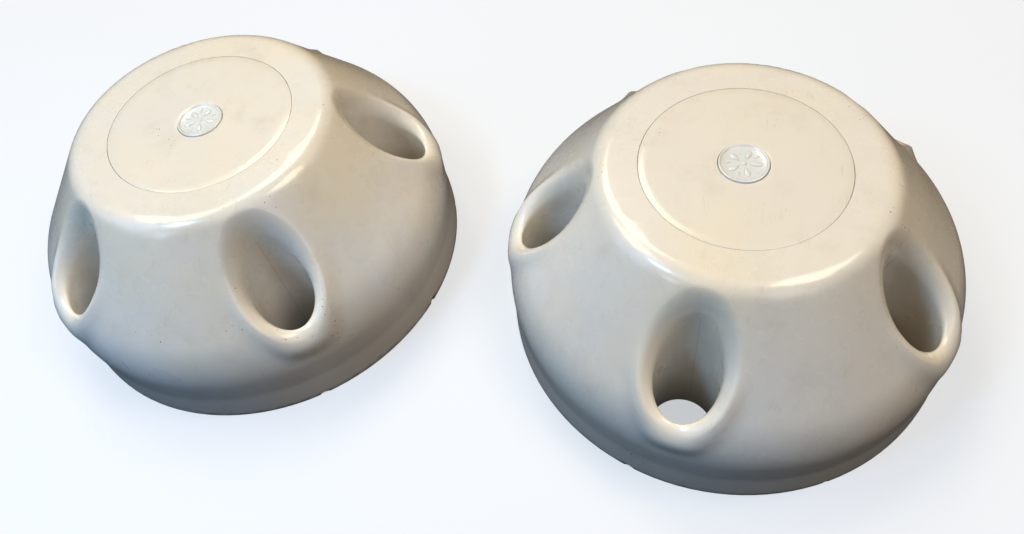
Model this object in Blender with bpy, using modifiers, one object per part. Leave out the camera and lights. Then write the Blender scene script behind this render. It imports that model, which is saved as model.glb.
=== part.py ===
"""A pair of domed plastic wheel covers, lying side by side on their rims.

Each cover is a moulded dome with five deep oval pockets, a snap-in centre disc with a medallion, and
five spring clips that are screwed to bosses inside the skirt. Metres, +Z up. The origin is on the
ground, midway between the two covers.
"""

from math import atan2, cos, pi, radians, sin, tan

import bmesh
import bpy
from mathutils import Matrix, Vector

# The pair
COVER_SPACING = 0.3545
LEFT_TURN = radians(-50.7)
RIGHT_TURN = radians(-100.2)

# The dome's outside
COVER_DIAMETER = 0.300
COVER_HEIGHT = 0.1405
WALL = 0.003
CROWN_DIAMETER = 0.173
CROWN_FILLET = 0.014
SHOULDER_HEIGHT = 0.0607
SHOULDER_INSET = 0.0008
SHOULDER_FILLET = 0.0435
WAIST_HEIGHT = 0.022
WAIST_DEPTH = 0.0022
RIM_HEIGHT = 0.004

# The five pockets, each a straight oval tube from the flank down to the wheel
POCKET_COUNT = 5
POCKET_WIDTH = 0.039
POCKET_TOP_MARGIN = 0.0075
POCKET_LOWER_MARGIN = 0.0135
POCKET_FOOT = 0.002
FLARE_WIDTH = 0.005
FLARE_DEPTH = 0.008
FLARE_KNEE = 0.35

# The centre disc and its seat
DISC_DIAMETER = 0.124
DISC_THICKNESS = 0.003
DISC_LEDGE = 0.010
DISC_SPIGOT_DEPTH = 0.012
DISC_SPIGOT_WALL = 0.0024
SEAM = 0.0004

# The medallion
MEDALLION_DIAMETER = 0.030
MEDALLION_SINK = 0.0012
MEDALLION_RING_WIDTH = 0.0016
MEDALLION_RELIEF = 0.0010
MEDALLION_PEG_DIAMETER = 0.005
MEDALLION_PEG_LENGTH = 0.006
PETAL_LENGTH = 0.0072
PETAL_WIDTH = 0.0036
PETAL_REACH = 0.007

# Bosses, ribs, clips and screws, all between two pockets
BOSS_INSET = 0.016
BOSS_DIAMETER = 0.012
BOSS_FOOT = 0.016
RIB_THICKNESS = 0.0026
RIB_DEPTH = 0.013
RIB_FOOT = 0.024
CLIP_WIDTH = 0.013
CLIP_THICKNESS = 0.001
CLIP_FOOT_LENGTH = 0.014
CLIP_GROUND_CLEARANCE = 0.0024
CLIP_NOSE_REACH = 0.006
CLIP_NOSE_START = 0.66
CLIP_NOSE_END = 0.76
CLIP_TOE_REACH = 0.0018
SCREW_DIAMETER = 0.003
SCREW_LENGTH = 0.014
SCREW_HEAD_DIAMETER = 0.008
SCREW_HEAD_HEIGHT = 0.0022
SCREW_HEAD_FACE_DIAMETER = 0.0056
SCREW_TIP_DIAMETER = 0.0009
SCREW_CLEARANCE = 0.0004
GAP = 0.0003

DOME_STEPS = 50
POCKET_STEPS = 24
MEDALLION_STEPS = 30
BOSS_STEPS = 16
CROWN_SEGMENTS = 3
SHOULDER_SEGMENTS = 5
SMALL_STEPS = 12
MERGE = 0.00001

PITCH = 2 * pi / POCKET_COUNT
RIM_RADIUS = COVER_DIAMETER / 2
CROWN_RADIUS = CROWN_DIAMETER / 2
SHOULDER_RADIUS = RIM_RADIUS - SHOULDER_INSET
SEAT_RADIUS = DISC_DIAMETER / 2 + SEAM
LEDGE_RADIUS = SEAT_RADIUS - DISC_LEDGE
SEAT_FLOOR = COVER_HEIGHT - DISC_THICKNESS
FLANK_DROP = (COVER_HEIGHT - SHOULDER_HEIGHT) / (SHOULDER_RADIUS - CROWN_RADIUS)
FLANK_ANGLE = atan2(FLANK_DROP, 1.0)
POCKET_INNER = CROWN_RADIUS + POCKET_TOP_MARGIN
POCKET_OUTER = SHOULDER_RADIUS - POCKET_LOWER_MARGIN
POCKET_CENTRE = (POCKET_INNER + POCKET_OUTER) / 2
POCKET_LENGTH = POCKET_OUTER - POCKET_INNER
BOSS_CENTRE = RIM_RADIUS - BOSS_INSET
CLIP_TOP = BOSS_FOOT - GAP
CLIP_BEND_RADIUS = BOSS_CENTRE - CLIP_FOOT_LENGTH / 2 - GAP - CLIP_THICKNESS / 2
CLIP_BEND_HEIGHT = CLIP_TOP - CLIP_THICKNESS / 2
CLIP_LEG_HEIGHT = CLIP_BEND_HEIGHT - CLIP_THICKNESS / 2 - CLIP_GROUND_CLEARANCE

COLOURS = {
    "shell_plastic": ((0.80, 0.76, 0.66), 0.28, 0.0),
    "disc_plastic": ((0.82, 0.77, 0.63), 0.32, 0.0),
    "medallion_plastic": ((0.74, 0.77, 0.80), 0.30, 0.0),
    "spring_steel": ((0.36, 0.37, 0.39), 0.35, 1.0),
    "zinc_screw": ((0.68, 0.67, 0.62), 0.30, 1.0),
}


def clear_scene():
    for item in list(bpy.data.objects):
        bpy.data.objects.remove(item)


def collection(name):
    made = bpy.data.collections.new(name)
    bpy.context.scene.collection.children.link(made)
    return made


def material(name):
    colour, roughness, metallic = COLOURS[name]
    made = bpy.data.materials.new(name)
    made.use_nodes = True
    shader = made.node_tree.nodes["Principled BSDF"]
    shader.inputs["Base Color"].default_value = (*colour, 1.0)
    shader.inputs["Roughness"].default_value = roughness
    shader.inputs["Metallic"].default_value = metallic
    return made


def add_object(name, mesh, group):
    made = bpy.data.objects.new(name, mesh)
    group.objects.link(made)
    return made


def cutter(name, mesh, group):
    """A helper body, which the build leaves out."""
    made = add_object(name, mesh, group)
    made.hide_render = True
    made.display_type = "WIRE"
    return made


def finished_mesh(source, name):
    """The source's mesh with all its modifiers worked out, in its own space."""
    graph = bpy.context.evaluated_depsgraph_get()
    mesh = bpy.data.meshes.new_from_object(source.evaluated_get(graph))
    mesh.name = name
    mesh.shade_smooth()
    mesh.set_sharp_from_angle(angle=radians(32))
    return mesh


def boolean(target, operation, other):
    step = target.modifiers.new(operation.lower(), "BOOLEAN")
    step.operation = operation
    step.solver = "EXACT"
    step.object = other


def turned(name, profile, group, steps, closed=False):
    """A cutter turned round Z from (radius, height) points that run down the outer side.

    It starts half a step off X, so that no meridian lies on the middle of a pocket or a rib.
    """
    shape = bmesh.new()
    corners = [shape.verts.new((radius, 0.0, height)) for radius, height in profile]
    for first, second in zip(corners, corners[1:]):
        shape.edges.new((first, second))
    if closed:
        shape.edges.new((corners[-1], corners[0]))
    mesh = bpy.data.meshes.new(name)
    shape.to_mesh(mesh)
    shape.free()
    mesh.transform(Matrix.Rotation(pi / steps, 4, "Z"))
    made = cutter(name, mesh, group)
    screw = made.modifiers.new("turn", "SCREW")
    screw.steps = steps
    screw.render_steps = steps
    screw.use_merge_vertices = True
    screw.merge_threshold = MERGE
    return made


def cylinder(name, radius, low, high, group, steps=POCKET_STEPS):
    """An upright cylinder on the Z axis from the height low to the height high."""
    shape = bmesh.new()
    bmesh.ops.create_cone(
        shape, cap_ends=True, segments=steps, radius1=radius, radius2=radius, depth=high - low
    )
    bmesh.ops.translate(shape, verts=shape.verts, vec=(0.0, 0.0, (low + high) / 2))
    mesh = bpy.data.meshes.new(name)
    shape.to_mesh(mesh)
    shape.free()
    return cutter(name, mesh, group)


def box(name, low, high, group):
    """A box between two opposite corners."""
    low, high = Vector(low), Vector(high)
    shape = bmesh.new()
    bmesh.ops.create_cube(shape, size=1.0)
    bmesh.ops.scale(shape, verts=shape.verts, vec=high - low)
    bmesh.ops.translate(shape, verts=shape.verts, vec=(low + high) / 2)
    mesh = bpy.data.meshes.new(name)
    shape.to_mesh(mesh)
    shape.free()
    return cutter(name, mesh, group)


def corner_arc(before, corner, after, radius, segments):
    """The points of an arc that rounds a corner between two straight lines."""
    before, corner, after = Vector(before), Vector(corner), Vector(after)
    back = (before - corner).normalized()
    onward = (after - corner).normalized()
    half = back.angle(onward) / 2
    start = corner + back * (radius / tan(half))
    centre = corner + (back + onward).normalized() * (radius / sin(half))
    spoke = start - centre
    sweep = pi - 2 * half
    side = -1.0 if back.x * onward.y - back.y * onward.x > 0 else 1.0
    points = []
    for step in range(segments + 1):
        turn = side * sweep * step / segments
        points.append((centre + Matrix.Rotation(turn, 2) @ spoke).to_tuple())
    return points


def dome_line(inset, crown_segments, shoulder_segments):
    """The dome's outline from the crown's edge down to the skirt, moved inwards by a wall's thickness."""
    level = COVER_HEIGHT - inset
    flank_shift = inset / sin(FLANK_ANGLE)
    side = SHOULDER_RADIUS - inset
    crown = (CROWN_RADIUS - flank_shift + inset / tan(FLANK_ANGLE), level)
    drop = (side - crown[0]) * FLANK_DROP
    shoulder = (side, level - drop)
    points = corner_arc((0.0, level), crown, shoulder, CROWN_FILLET - inset, crown_segments)
    points += corner_arc(crown, shoulder, (side, 0.0), SHOULDER_FILLET - inset, shoulder_segments)
    points.append((RIM_RADIUS - WAIST_DEPTH - inset, WAIST_HEIGHT))
    points.append((RIM_RADIUS - inset, RIM_HEIGHT))
    return points


def shell_profile():
    """The closed section of the dome's wall, with the seat and ledge for the centre disc."""
    outside = dome_line(0.0, CROWN_SEGMENTS, SHOULDER_SEGMENTS)
    inside = dome_line(WALL, CROWN_SEGMENTS - 1, SHOULDER_SEGMENTS - 2)
    section = [(SEAT_RADIUS, COVER_HEIGHT)]
    section += outside
    section.append((RIM_RADIUS, 0.0))
    section.append((RIM_RADIUS - WALL, 0.0))
    section += inside[::-1]
    section.append((SEAT_RADIUS + WALL, COVER_HEIGHT - WALL))
    section.append((SEAT_RADIUS + WALL, SEAT_FLOOR - WALL))
    section.append((LEDGE_RADIUS, SEAT_FLOOR - WALL))
    section.append((LEDGE_RADIUS, SEAT_FLOOR))
    section.append((SEAT_RADIUS, SEAT_FLOOR))
    return section


def pocket_form(name, offset, group):
    """An upright oval column at azimuth 0, flared where it meets the sloping flank."""
    half_width = POCKET_WIDTH / 2 + offset
    lowered = offset / cos(FLANK_ANGLE)
    clear = 2 * FLARE_DEPTH
    profile = [(0.0, clear), (half_width + 1.5 * FLARE_WIDTH, clear)]
    profile.append((half_width + FLARE_WIDTH, -lowered))
    profile.append((half_width + FLARE_WIDTH * FLARE_KNEE, -lowered - FLARE_DEPTH * FLARE_KNEE))
    profile.append((half_width, -lowered - FLARE_DEPTH))
    profile.append((half_width, -2 * COVER_HEIGHT))
    profile.append((0.0, -2 * COVER_HEIGHT))
    round_form = turned(name + "_round", profile, group, POCKET_STEPS)
    mesh = finished_mesh(round_form, name)
    stretch = (POCKET_LENGTH / 2 + offset) / half_width
    shear = Matrix.Identity(4)
    shear[2][0] = -FLANK_DROP
    flank_height = COVER_HEIGHT - (POCKET_CENTRE - CROWN_RADIUS) * FLANK_DROP
    place = Matrix.Translation((POCKET_CENTRE, 0.0, flank_height))
    mesh.transform(place @ shear @ Matrix.Diagonal((stretch, 1.0, 1.0, 1.0)))
    return cutter(name, mesh, group)


def rib_form(name, group):
    """A rib in the X-Z plane that follows the inside of the flank and the skirt."""
    top = COVER_HEIGHT
    inner = SEAT_RADIUS + 2 * WALL
    outline = [(inner, top - RIB_DEPTH), (CROWN_RADIUS, top - RIB_DEPTH)]
    foot_radius = BOSS_CENTRE
    foot_drop = (foot_radius - CROWN_RADIUS) * FLANK_DROP
    outline.append((foot_radius, top - RIB_DEPTH - foot_drop))
    outline += [(foot_radius, RIB_FOOT), (RIM_RADIUS, RIB_FOOT), (RIM_RADIUS, top), (inner, top)]
    curve = bpy.data.curves.new(name, "CURVE")
    curve.dimensions = "2D"
    curve.fill_mode = "BOTH"
    curve.extrude = RIB_THICKNESS / 2
    line = curve.splines.new("POLY")
    line.points.add(len(outline) - 1)
    line.use_cyclic_u = True
    for point, (radius, height) in zip(line.points, outline):
        point.co = (radius, height, 0.0, 1.0)
    flat = add_object(name + "_outline", curve, group)
    mesh = finished_mesh(flat, name)
    bpy.data.objects.remove(flat)
    shape = bmesh.new()
    shape.from_mesh(mesh)
    bmesh.ops.remove_doubles(shape, verts=shape.verts, dist=MERGE)
    shape.to_mesh(mesh)
    shape.free()
    mesh.transform(Matrix.Rotation(pi / 2, 4, "X"))
    return cutter(name, mesh, group)


def turned_copy(source, name, angle, group):
    """A helper body's copy, turned about the cover's axis."""
    made = cutter(name, source.data, group)
    made.matrix_world = Matrix.Rotation(angle, 4, "Z") @ source.matrix_world
    return made


def shell_mesh(group):
    """The dome with its five pocket tubes, five ribs and five screw bosses, as one moulding."""
    shell = turned("shell_wall", shell_profile(), group, DOME_STEPS, closed=True)
    trim_line = dome_line(WALL / 2, CROWN_SEGMENTS, SHOULDER_SEGMENTS)
    trim_line = [(0.0, COVER_HEIGHT - WALL / 2)] + trim_line
    trim_line += [(RIM_RADIUS - WALL / 2, POCKET_FOOT), (0.0, POCKET_FOOT)]
    trim = turned("inside_form", trim_line, group, DOME_STEPS)
    column = pocket_form("pocket_column", WALL, group)
    pocket = pocket_form("pocket_hollow", 0.0, group)
    rib = rib_form("rib", group)
    boss = cylinder("boss", BOSS_DIAMETER / 2, BOSS_FOOT, COVER_HEIGHT, group, BOSS_STEPS)
    hole_radius = SCREW_DIAMETER / 2 + SCREW_CLEARANCE
    hole_end = BOSS_FOOT + SCREW_LENGTH + GAP
    hole = cylinder("screw_hole", hole_radius, 0.0, hole_end, group, SMALL_STEPS)
    for form in (boss, hole):
        form.data.transform(Matrix.Translation((BOSS_CENTRE, 0.0, 0.0)))
    for index in range(POCKET_COUNT):
        pocket_turn = index * PITCH
        clip_turn = pocket_turn + PITCH / 2
        for source, angle in ((column, pocket_turn), (rib, clip_turn), (boss, clip_turn)):
            added = turned_copy(source, f"{source.name}_{index + 1}", angle, group)
            boolean(added, "INTERSECT", trim)
            boolean(shell, "UNION", added)
    for index in range(POCKET_COUNT):
        pocket_turn = index * PITCH
        clip_turn = pocket_turn + PITCH / 2
        for source, angle in ((pocket, pocket_turn), (hole, clip_turn)):
            taken = turned_copy(source, f"{source.name}_{index + 1}", angle, group)
            boolean(shell, "DIFFERENCE", taken)
    return finished_mesh(shell, "shell")


def disc_mesh(group):
    """The centre disc, with a spigot ring below it and a sunk seat for the medallion."""
    radius = DISC_DIAMETER / 2
    spigot = LEDGE_RADIUS - SEAM
    under = SEAT_FLOOR + GAP
    spigot_foot = COVER_HEIGHT - DISC_SPIGOT_DEPTH
    seat = MEDALLION_DIAMETER / 2 + SEAM
    bore = MEDALLION_PEG_DIAMETER / 2 + SEAM
    profile = [(bore, COVER_HEIGHT - MEDALLION_SINK), (seat, COVER_HEIGHT - MEDALLION_SINK)]
    profile += [(seat, COVER_HEIGHT), (radius, COVER_HEIGHT), (radius, under), (spigot, under)]
    profile += [(spigot, spigot_foot), (spigot - DISC_SPIGOT_WALL, spigot_foot)]
    profile += [(spigot - DISC_SPIGOT_WALL, under), (bore, under)]
    disc = turned("disc_form", profile, group, DOME_STEPS, closed=True)
    return finished_mesh(disc, "disc")


def medallion_mesh(group):
    """A round medallion with a raised ring, five raised petals and a peg behind."""
    radius = MEDALLION_DIAMETER / 2
    base = COVER_HEIGHT - MEDALLION_SINK + GAP
    face = COVER_HEIGHT
    crest = face + MEDALLION_RELIEF
    ring_inner = radius - MEDALLION_RING_WIDTH
    peg = MEDALLION_PEG_DIAMETER / 2
    peg_foot = base - MEDALLION_PEG_LENGTH
    profile = [(0.0, face), (ring_inner, face), (ring_inner, crest), (radius, crest)]
    profile += [(radius, base), (peg, base), (peg, peg_foot), (0.0, peg_foot)]
    medallion = turned("medallion_form", profile, group, MEDALLION_STEPS)
    for index in range(POCKET_COUNT):
        shape = bmesh.new()
        bmesh.ops.create_uvsphere(shape, u_segments=8, v_segments=6, radius=1.0)
        petal_size = (PETAL_LENGTH / 2, PETAL_WIDTH / 2, MEDALLION_RELIEF)
        bmesh.ops.scale(shape, verts=shape.verts, vec=petal_size)
        bmesh.ops.translate(shape, verts=shape.verts, vec=(PETAL_REACH, 0.0, face))
        mesh = bpy.data.meshes.new("petal")
        shape.to_mesh(mesh)
        shape.free()
        petal = cutter(f"petal_{index + 1}", mesh, group)
        petal.rotation_euler.z = index * PITCH
        boolean(medallion, "UNION", petal)
    return finished_mesh(medallion, "medallion")


def clip_foot_mesh(group):
    """The flat of a clip, under its boss, with its origin on the screw's axis."""
    half = CLIP_FOOT_LENGTH / 2
    low = (-half, -CLIP_WIDTH / 2, CLIP_TOP - CLIP_THICKNESS)
    foot = box("clip_flat", low, (half, CLIP_WIDTH / 2, CLIP_TOP), group)
    radius = SCREW_DIAMETER / 2 + SCREW_CLEARANCE
    boolean(foot, "DIFFERENCE", cylinder("clip_hole", radius, 0.0, BOSS_FOOT, group, SMALL_STEPS))
    return finished_mesh(foot, "clip_foot")


def clip_leg_mesh(group):
    """The springing leg of a clip, with its origin on the bend that it flexes about."""
    path = [(0.0, CLIP_THICKNESS / 2), (0.0, -CLIP_THICKNESS)]
    path.append((-CLIP_NOSE_REACH, -CLIP_LEG_HEIGHT * CLIP_NOSE_START))
    path.append((-CLIP_NOSE_REACH, -CLIP_LEG_HEIGHT * CLIP_NOSE_END))
    path.append((-CLIP_TOE_REACH, -CLIP_LEG_HEIGHT))
    shape = bmesh.new()
    corners = [shape.verts.new((out, -CLIP_WIDTH / 2, up)) for out, up in path]
    edges = [shape.edges.new(pair) for pair in zip(corners, corners[1:])]
    swept = bmesh.ops.extrude_edge_only(shape, edges=edges)["geom"]
    moved = [part for part in swept if isinstance(part, bmesh.types.BMVert)]
    bmesh.ops.translate(shape, verts=moved, vec=(0.0, CLIP_WIDTH, 0.0))
    bmesh.ops.recalc_face_normals(shape, faces=shape.faces)
    mesh = bpy.data.meshes.new("clip_leg_strip")
    shape.to_mesh(mesh)
    shape.free()
    leg = cutter("clip_strip", mesh, group)
    wall = leg.modifiers.new("thickness", "SOLIDIFY")
    wall.thickness = CLIP_THICKNESS
    wall.offset = 0.0
    wall.use_even_offset = True
    return finished_mesh(leg, "clip_leg")


def screw_mesh(group):
    """A pan-head screw, with its origin on its axis at the ground."""
    under = CLIP_TOP - CLIP_THICKNESS - GAP
    head_foot = under - SCREW_HEAD_HEIGHT
    head_edge = under - SCREW_HEAD_HEIGHT / 2
    head = SCREW_HEAD_DIAMETER / 2
    head_face = SCREW_HEAD_FACE_DIAMETER / 2
    shank = SCREW_DIAMETER / 2
    end = SCREW_TIP_DIAMETER / 2
    tip = BOSS_FOOT + SCREW_LENGTH
    profile = [(0.0, tip), (end, tip), (shank, tip - SCREW_DIAMETER), (shank, under)]
    profile += [(head, under), (head, head_edge), (head_face, head_foot), (0.0, head_foot)]
    return finished_mesh(turned("screw_form", profile, group, SMALL_STEPS), "screw")


def place(name, mesh, finish, parent, location, angle, group):
    """One finished piece, placed on its cover."""
    piece = add_object(name, mesh, group)
    piece.parent = parent
    piece.location = location
    piece.rotation_euler.z = angle
    if not mesh.materials:
        mesh.materials.append(finish)
    return piece


def build():
    clear_scene()
    pieces = collection("wheel_cover_set")
    helpers = collection("cutters")
    finishes = {name: material(name) for name in COLOURS}
    meshes = {
        "shell": shell_mesh(helpers),
        "disc": disc_mesh(helpers),
        "medallion": medallion_mesh(helpers),
        "clip_foot": clip_foot_mesh(helpers),
        "clip_leg": clip_leg_mesh(helpers),
        "screw": screw_mesh(helpers),
    }
    covers = (("left", -COVER_SPACING / 2, LEFT_TURN), ("right", COVER_SPACING / 2, RIGHT_TURN))
    for side, across, turn in covers:
        hub = bpy.data.objects.new(side + "_cover_axis", None)
        pieces.objects.link(hub)
        hub.location = (across, 0.0, 0.0)
        hub.rotation_euler.z = turn
        centre = (0.0, 0.0, 0.0)
        place(side + "_shell", meshes["shell"], finishes["shell_plastic"], hub, centre, 0.0, pieces)
        place(side + "_centre_disc", meshes["disc"], finishes["disc_plastic"], hub, centre, 0.0, pieces)
        stamp = finishes["medallion_plastic"]
        place(side + "_medallion", meshes["medallion"], stamp, hub, centre, -turn, pieces)
        for index in range(POCKET_COUNT):
            angle = (index + 0.5) * PITCH
            outward = Vector((cos(angle), sin(angle), 0.0))
            screw_axis = outward * BOSS_CENTRE
            bend = outward * CLIP_BEND_RADIUS + Vector((0.0, 0.0, CLIP_BEND_HEIGHT))
            label = f"{side}_clip_{index + 1}"
            steel = finishes["spring_steel"]
            place(label + "_foot", meshes["clip_foot"], steel, hub, screw_axis, angle, pieces)
            place(label + "_leg", meshes["clip_leg"], steel, hub, bend, angle, pieces)
            zinc = finishes["zinc_screw"]
            place(label + "_screw", meshes["screw"], zinc, hub, screw_axis, angle, pieces)


build()
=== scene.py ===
"""The looks of a pair of moulded wheel covers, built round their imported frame.

Each cover is a glossy cream dome with five deep oval pockets, a flat centre disc with a small
rosette, and five sprung clips on screw bosses inside its skirt. All sizes are in metres, in the
frame's own axes: +X from the left cover to the right one, +Z up, the ground at zero.
"""

import logging
import math
from collections.abc import Callable, Iterable, Sequence
from dataclasses import dataclass, field
from enum import Enum
from typing import Any

import bmesh
import bpy
import numpy as np
from bmesh.types import BMesh, BMVert
from mathutils import Matrix, Vector


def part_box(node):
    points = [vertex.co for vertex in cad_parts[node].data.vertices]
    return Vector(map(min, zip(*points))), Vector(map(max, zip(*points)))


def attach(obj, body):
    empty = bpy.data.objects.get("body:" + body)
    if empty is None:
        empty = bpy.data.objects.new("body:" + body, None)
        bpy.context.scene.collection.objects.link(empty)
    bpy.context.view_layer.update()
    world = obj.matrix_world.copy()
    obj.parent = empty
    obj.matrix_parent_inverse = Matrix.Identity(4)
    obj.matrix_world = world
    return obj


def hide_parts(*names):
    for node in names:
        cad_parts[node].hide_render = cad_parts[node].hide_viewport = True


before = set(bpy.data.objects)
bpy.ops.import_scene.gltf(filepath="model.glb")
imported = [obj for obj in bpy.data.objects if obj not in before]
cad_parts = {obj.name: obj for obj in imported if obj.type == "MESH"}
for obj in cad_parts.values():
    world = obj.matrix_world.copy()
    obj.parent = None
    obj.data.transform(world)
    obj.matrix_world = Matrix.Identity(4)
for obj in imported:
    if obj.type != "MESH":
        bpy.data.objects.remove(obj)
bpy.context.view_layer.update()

LOG = logging.getLogger("wheel_covers")
WELD = 0.00002
SECTORS = 5  # The pockets round a cover, with one clip between each two.
PITCH = math.tau / SECTORS
SMOOTH_ANGLE = math.radians(38.0)
CREASE_ANGLE = math.radians(50.0)
CRISP_ANGLE = math.radians(60.0)
Colour = tuple[float, float, float]


class Side(Enum):
    """The two covers of the pair."""

    LEFT = "left"
    RIGHT = "right"


class Slot(Enum):
    """The record's material slots."""

    SHELL = "shell_plastic"
    DISC = "disc_plastic"
    MEDALLION = "medallion_plastic"
    SPRING = "spring_steel"
    SCREW = "zinc_screw"


# ---------------------------------------------------------------- mesh helpers


def smoothstep(value: float) -> float:
    """A soft 0 to 1 ramp of a value, held at its ends."""
    held = min(max(value, 0.0), 1.0)
    return held * held * (3.0 - 2.0 * held)


def bell(distance: float, reach: float) -> float:
    """A bell curve of a distance, 1 at zero and near nothing past twice its reach."""
    return math.exp(-((distance / reach) ** 2))


def grow_ring(shape: BMesh, ring: Sequence[BMVert], places: Iterable[Vector]) -> list[BMVert]:
    """Extrudes a closed ring of points to new places.

    Args:
        shape: The mesh that the ring is in.
        ring: The ring's points, in order.
        places: Where each point's copy goes.

    Returns:
        The new ring's points, in the same order.
    """
    edges = [shape.edges.get((a, b)) for a, b in zip(ring, [*ring[1:], ring[0]])]
    grown = bmesh.ops.extrude_edge_only(shape, edges=edges)["geom"]
    fresh = {part for part in grown if isinstance(part, BMVert)}
    copies = []
    for point in ring:
        others = (edge.other_vert(point) for edge in point.link_edges)
        copies.append(next(other for other in others if other in fresh))
    for copy, place in zip(copies, places):
        copy.co = place
    return copies


def boundary_ring(shape: BMesh, accept: Callable[[Vector], bool]) -> list[BMVert]:
    """The points of one open edge loop, in order round the Z axis.

    Args:
        shape: The mesh to look in.
        accept: Says whether a point belongs to the wanted loop.

    Returns:
        The loop's points, sorted by azimuth.
    """
    found = {v for e in shape.edges if e.is_boundary for v in e.verts if accept(v.co)}
    return sorted(found, key=lambda v: math.atan2(v.co.y, v.co.x))


def spun(profile: Sequence[tuple[float, float]], steps: int) -> BMesh:
    """Turns an open or closed outline of (radius, height) points a full turn about Z.

    Args:
        profile: The outline's points. Those on the axis have a radius of zero.
        steps: The number of faces round the axis.

    Returns:
        The turned mesh, with its doubles merged and its faces outwards.
    """
    shape = bmesh.new()
    points = [shape.verts.new((radius, 0.0, height)) for radius, height in profile]
    edges = [shape.edges.new(pair) for pair in zip(points, points[1:])]
    bmesh.ops.spin(
        shape,
        geom=[*points, *edges],
        axis=(0.0, 0.0, 1.0),
        cent=(0.0, 0.0, 0.0),
        angle=math.tau,
        steps=steps,
        use_merge=True,
        use_duplicate=False,
    )
    bmesh.ops.remove_doubles(shape, verts=shape.verts, dist=WELD)
    bmesh.ops.dissolve_degenerate(shape, edges=shape.edges, dist=WELD)
    bmesh.ops.recalc_face_normals(shape, faces=shape.faces)
    return shape


def bevel(shape: BMesh, edges: list[Any], width: float, segments: int) -> None:
    """Rounds some of a mesh's edges, with a width and a number of faces across."""
    bmesh.ops.bevel(
        shape,
        geom=edges,
        offset=width,
        offset_type="OFFSET",
        segments=segments,
        profile=0.5,
        affect="EDGES",
        clamp_overlap=True,
        material=-1,
    )


def soften(shape: BMesh, width: float, sharper_than: float) -> None:
    """Bevels every edge of a mesh that is sharper than an angle.

    Args:
        shape: The mesh to bevel.
        width: How wide the bevel is.
        sharper_than: The least angle between two faces, in radians.
    """
    joined = (edge for edge in shape.edges if len(edge.link_faces) == 2)
    bevel(shape, [edge for edge in joined if edge.calc_face_angle(0.0) > sharper_than], width, 2)


def push(shape: BMesh, grown: Iterable[Any], by: Sequence[float]) -> None:
    """Moves the points of a fresh extrusion, or of any part of a mesh."""
    moved = [part for part in grown if isinstance(part, BMVert)]
    bmesh.ops.translate(shape, verts=moved, vec=by)


def spin(shape: BMesh, points: list[BMVert], angle: float) -> None:
    """Turns some of a mesh's points about Z."""
    turn = Matrix.Rotation(angle, 3, "Z")
    bmesh.ops.rotate(shape, verts=points, cent=(0.0, 0.0, 0.0), matrix=turn)


def make_piece(name: str, shape: BMesh, place: Matrix) -> bpy.types.Object:
    """Makes a scene object of a mesh, with its place in its mesh and its object at the origin.

    Args:
        name: The piece's name.
        shape: The finished mesh, which is freed.
        place: The turn and shift from the mesh's own space to the frame.

    Returns:
        The new object.
    """
    mesh = bpy.data.meshes.new(name)
    shape.to_mesh(mesh)
    shape.free()
    mesh.transform(place)
    mesh.shade_smooth()
    mesh.set_sharp_from_angle(angle=SMOOTH_ANGLE)
    piece = bpy.data.objects.new(name, mesh)
    bpy.context.scene.collection.objects.link(piece)
    return piece


def add_wall(piece: bpy.types.Object, thickness: float) -> None:
    """Gives an open surface a wall on its inner side, closed at its open edges."""
    wall = piece.modifiers.new("wall", "SOLIDIFY")
    wall.thickness = thickness
    wall.offset = -1.0
    wall.use_even_offset = True
    wall.use_quality_normals = True
    wall.use_rim = True


def add_edge_round(piece: bpy.types.Object, width: float) -> None:
    """Rounds a piece's sharp edges with a live bevel."""
    rounding = piece.modifiers.new("rounded_edges", "BEVEL")
    rounding.width = width
    rounding.segments = 2
    rounding.limit_method = "ANGLE"
    rounding.angle_limit = CREASE_ANGLE
    rounding.profile = 0.5
    rounding.use_clamp_overlap = True


def cut_away(piece: bpy.types.Object, cutter: bpy.types.Object, overlapping: bool = False) -> None:
    """Cuts one object out of another for good, after the modifiers that are on it.

    Args:
        piece: The object that is cut. Its modifiers are applied.
        cutter: The object that cuts, which is removed.
        overlapping: Whether parts of the cutter run into each other.
    """
    cut = piece.modifiers.new("cut", "BOOLEAN")
    cut.operation = "DIFFERENCE"
    cut.solver = "EXACT"
    cut.use_self = overlapping
    cut.object = cutter
    bpy.context.view_layer.update()
    graph = bpy.context.evaluated_depsgraph_get()
    mesh = bpy.data.meshes.new_from_object(piece.evaluated_get(graph))
    piece.modifiers.clear()
    piece.data = mesh
    bpy.data.objects.remove(cutter)


# ---------------------------------------------------------------- the dome's line


@dataclass(frozen=True)
class Corner:
    """A corner of a line, at a radius and a height, with the radius that rounds it."""

    radius: float
    height: float
    rounding: float = 0.0


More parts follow.
